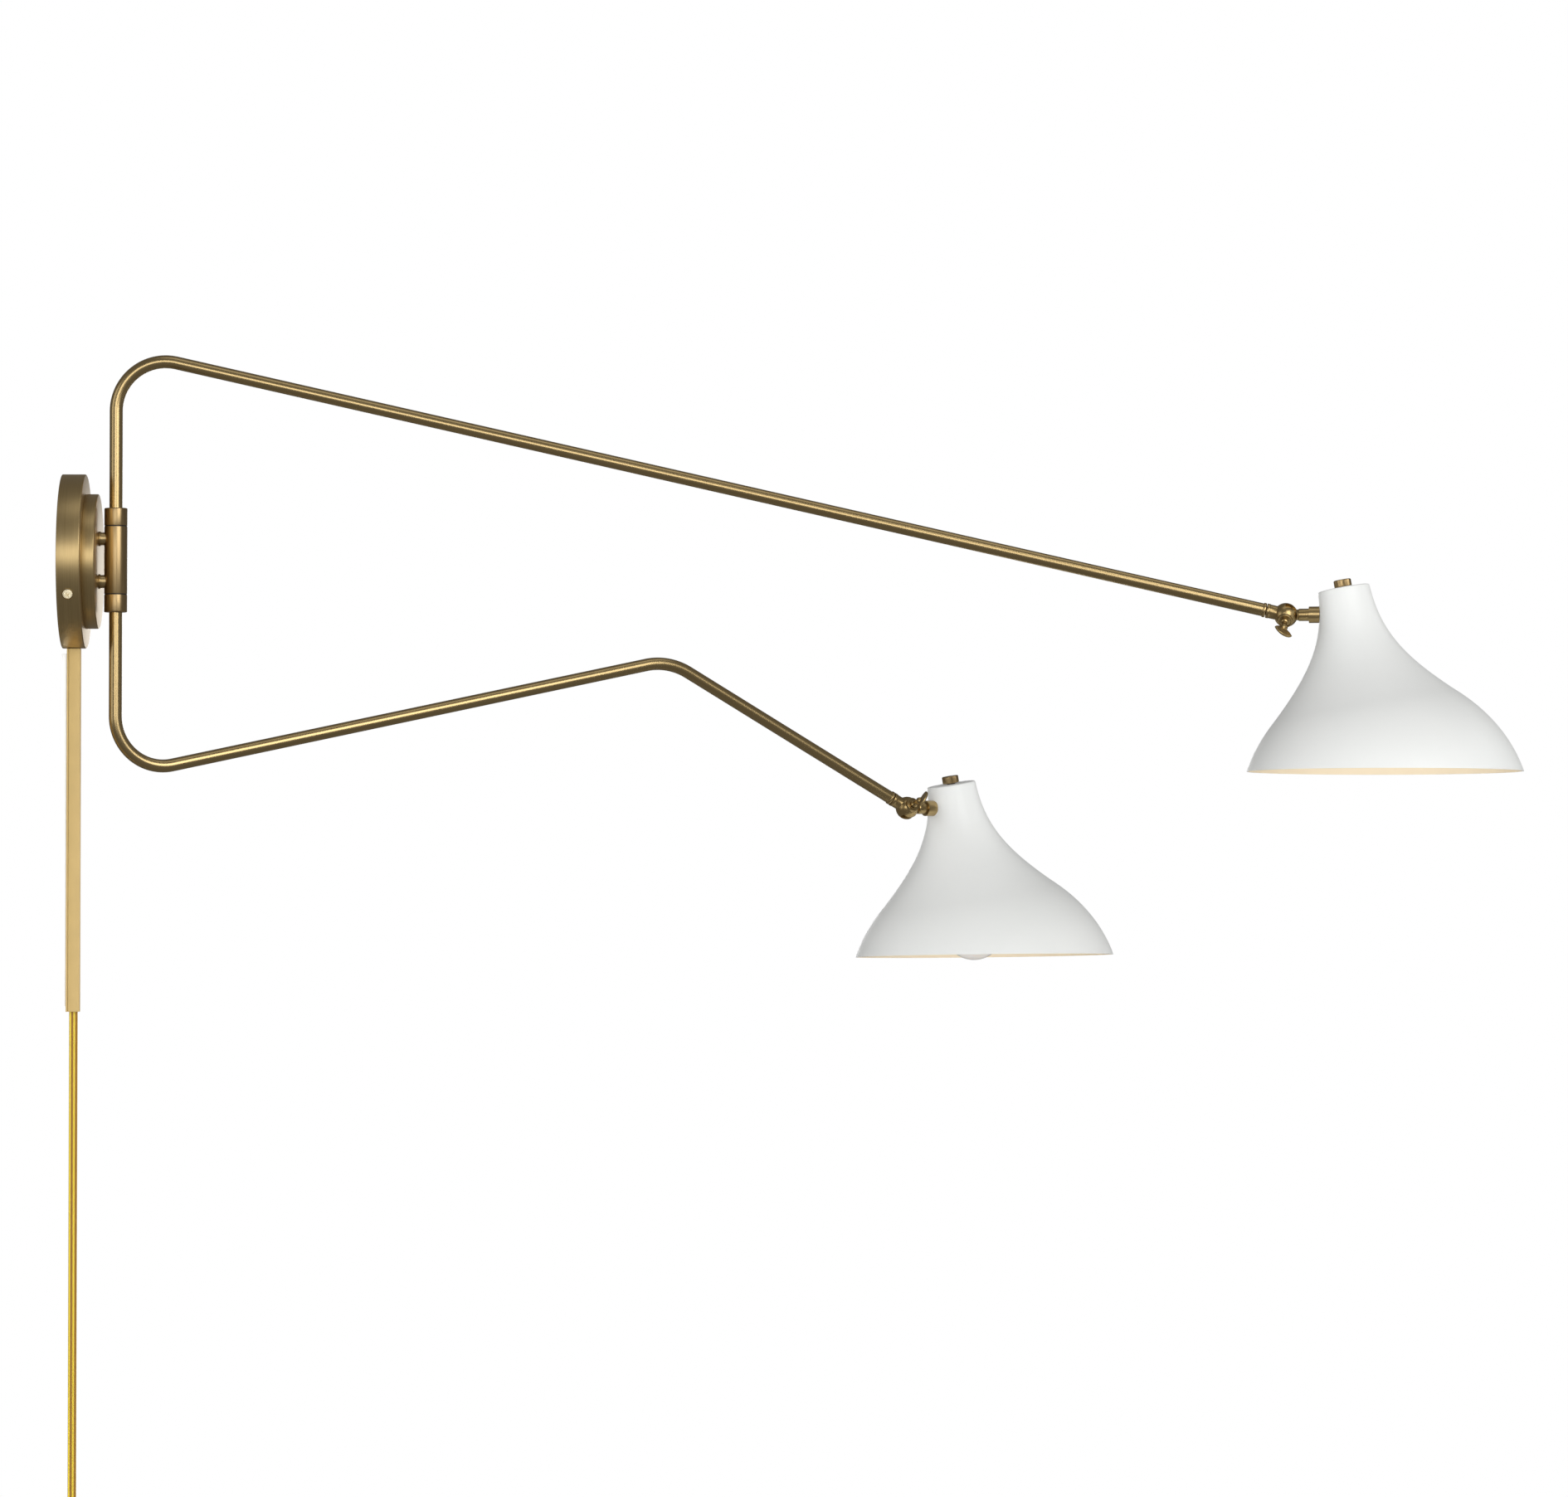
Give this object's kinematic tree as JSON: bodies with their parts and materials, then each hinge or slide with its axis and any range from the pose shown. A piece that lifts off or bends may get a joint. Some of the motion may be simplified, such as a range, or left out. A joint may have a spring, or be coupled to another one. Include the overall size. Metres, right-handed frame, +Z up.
{
  "type": "swing arm wall sconce",
  "caption": "Plug-in wall lamp with swing arms, each with an adjustable spun shade on a thumbscrew knuckle, on a stepped round canopy with a cord cover.",
  "frame": {"origin": "centre of the canopy's back face, on the wall", "axes": "+X out of the wall, +Z up, +Y to the left when the lamp is seen from in front of the wall, looking at it"},
  "size_m": [1.0588, 0.5333, 0.9819],
  "materials": {
    "brass": "satin brushed",
    "brass_plain": "plain",
    "steel": "zinc plated",
    "aluminium": "rolled",
    "ground_green": "green",
    "shade_white": "satin white, cream inside",
    "cover_metal": "satin brass coloured",
    "cord_plastic": "gold, clear over the wires",
    "plug_plastic": "gold",
    "bush_plastic": "plain",
    "black_plastic": "plain",
    "wire_nut_plastic": "plain",
    "wire_plastic": "plain",
    "tape": "white foam",
    "socket_plastic": "phenolic",
    "bulb_glass": "soft white"
  },
  "bodies": {
    "wall_side": {"mounting_plate": "steel", "side_screws": "brass", "ground_screw": "ground_green", "canopy": "brass", "canopy_step": "brass", "standoffs": "brass", "standoff_nuts": "steel", "hub": "brass", "hub_bushes": "bush_plastic", "hub_washers": "black_plastic", "strain_relief": "black_plastic", "wire_nuts": "wire_nut_plastic", "canopy_wires": "wire_plastic", "cord_cover": "cover_metal", "cover_tape": "tape", "cord": "cord_plastic", "cord_coil": "cord_plastic", "cord_tail": "cord_plastic", "coil_tie": "black_plastic", "plug_body": "plug_plastic", "plug_blades": "brass_plain"},
    "upper_arm": {"upper_arm_tube": "brass", "upper_collar": "brass", "upper_retainer": "steel", "upper_end_fitting": "brass", "upper_arm_wires": "wire_plastic"},
    "upper_knuckle_body": {"upper_knuckle": "brass"},
    "upper_screw_body": {"upper_thumbscrew": "brass"},
    "upper_lamp": {"upper_stem": "brass", "upper_stem_collar": "brass", "upper_stem_nut": "steel", "upper_shade": "shade_white", "upper_socket_strap": "steel", "upper_socket_screw": "steel", "upper_socket": "socket_plastic", "upper_switch": "socket_plastic", "upper_bulb": "bulb_glass", "upper_bulb_base": "aluminium", "upper_leads": "wire_plastic"},
    "upper_knob_body": {"upper_knob": "brass"},
    "lower_arm": {"lower_arm_tube": "brass", "lower_collar": "brass", "lower_retainer": "steel", "lower_end_fitting": "brass", "lower_arm_wires": "wire_plastic"},
    "lower_knuckle_body": {"lower_knuckle": "brass"},
    "lower_screw_body": {"lower_thumbscrew": "brass"},
    "lower_lamp": {"lower_stem": "brass", "lower_stem_collar": "brass", "lower_stem_nut": "steel", "lower_shade": "shade_white", "lower_socket_strap": "steel", "lower_socket_screw": "steel", "lower_socket": "socket_plastic", "lower_switch": "socket_plastic", "lower_bulb": "bulb_glass", "lower_bulb_base": "aluminium", "lower_leads": "wire_plastic"},
    "lower_knob_body": {"lower_knob": "brass"}
  },
  "joints": [
    {"name": "upper_arm_swing", "type": "hinge", "parent": "wall_side", "child": "upper_arm", "pos_m": [0.0384, 0, 0.001], "axis": [0, 0, 1], "range_deg": [-77, 83]},
    {"name": "upper_knuckle_turn", "type": "hinge", "parent": "upper_arm", "child": "upper_knuckle_body", "pos_m": [0.88886, -0.04457, -0.03987], "axis": [0.9734, -0.051, -0.2233], "range_deg": [-90, 90]},
    {"name": "upper_shade_tilt", "type": "hinge", "parent": "upper_knuckle_body", "child": "upper_lamp", "pos_m": [0.88886, -0.04457, -0.03987], "axis": [-0.1707, -0.8113, -0.5591], "range_deg": [-60, 40]},
    {"name": "upper_thumbscrew_turn", "type": "hinge", "parent": "upper_knuckle_body", "child": "upper_screw_body", "pos_m": [0.88579, -0.05917, -0.04994], "axis": [-0.1707, -0.8113, -0.5591], "range_deg": [0, 180]},
    {"name": "upper_knob_turn", "type": "hinge", "parent": "upper_lamp", "child": "upper_knob_body", "pos_m": [0.92945, -0.05311, -0.01782], "axis": [-0.1699, 0.0358, 0.9848], "continuous": true},
    {"name": "lower_arm_swing", "type": "hinge", "parent": "wall_side", "child": "lower_arm", "pos_m": [0.0384, 0, 0.001], "axis": [0, 0, 1], "range_deg": [-102, 58]},
    {"name": "lower_knuckle_turn", "type": "hinge", "parent": "lower_arm", "child": "lower_knuckle_body", "pos_m": [0.62812, 0.23826, -0.17468], "axis": [0.8109, 0.3276, -0.4848], "range_deg": [-90, 90]},
    {"name": "lower_shade_tilt", "type": "hinge", "parent": "lower_knuckle_body", "child": "lower_lamp", "pos_m": [0.62812, 0.23826, -0.17468], "axis": [0.5058, -0.8092, 0.2991], "range_deg": [-60, 25]},
    {"name": "lower_thumbscrew_turn", "type": "hinge", "parent": "lower_knuckle_body", "child": "lower_screw_body", "pos_m": [0.63723, 0.2237, -0.1693], "axis": [0.5058, -0.8092, 0.2991], "range_deg": [0, 180]},
    {"name": "lower_knob_turn", "type": "hinge", "parent": "lower_lamp", "child": "lower_knob_body", "pos_m": [0.66305, 0.26064, -0.15263], "axis": [-0.1582, -0.0745, 0.9846], "continuous": true}
  ]
}
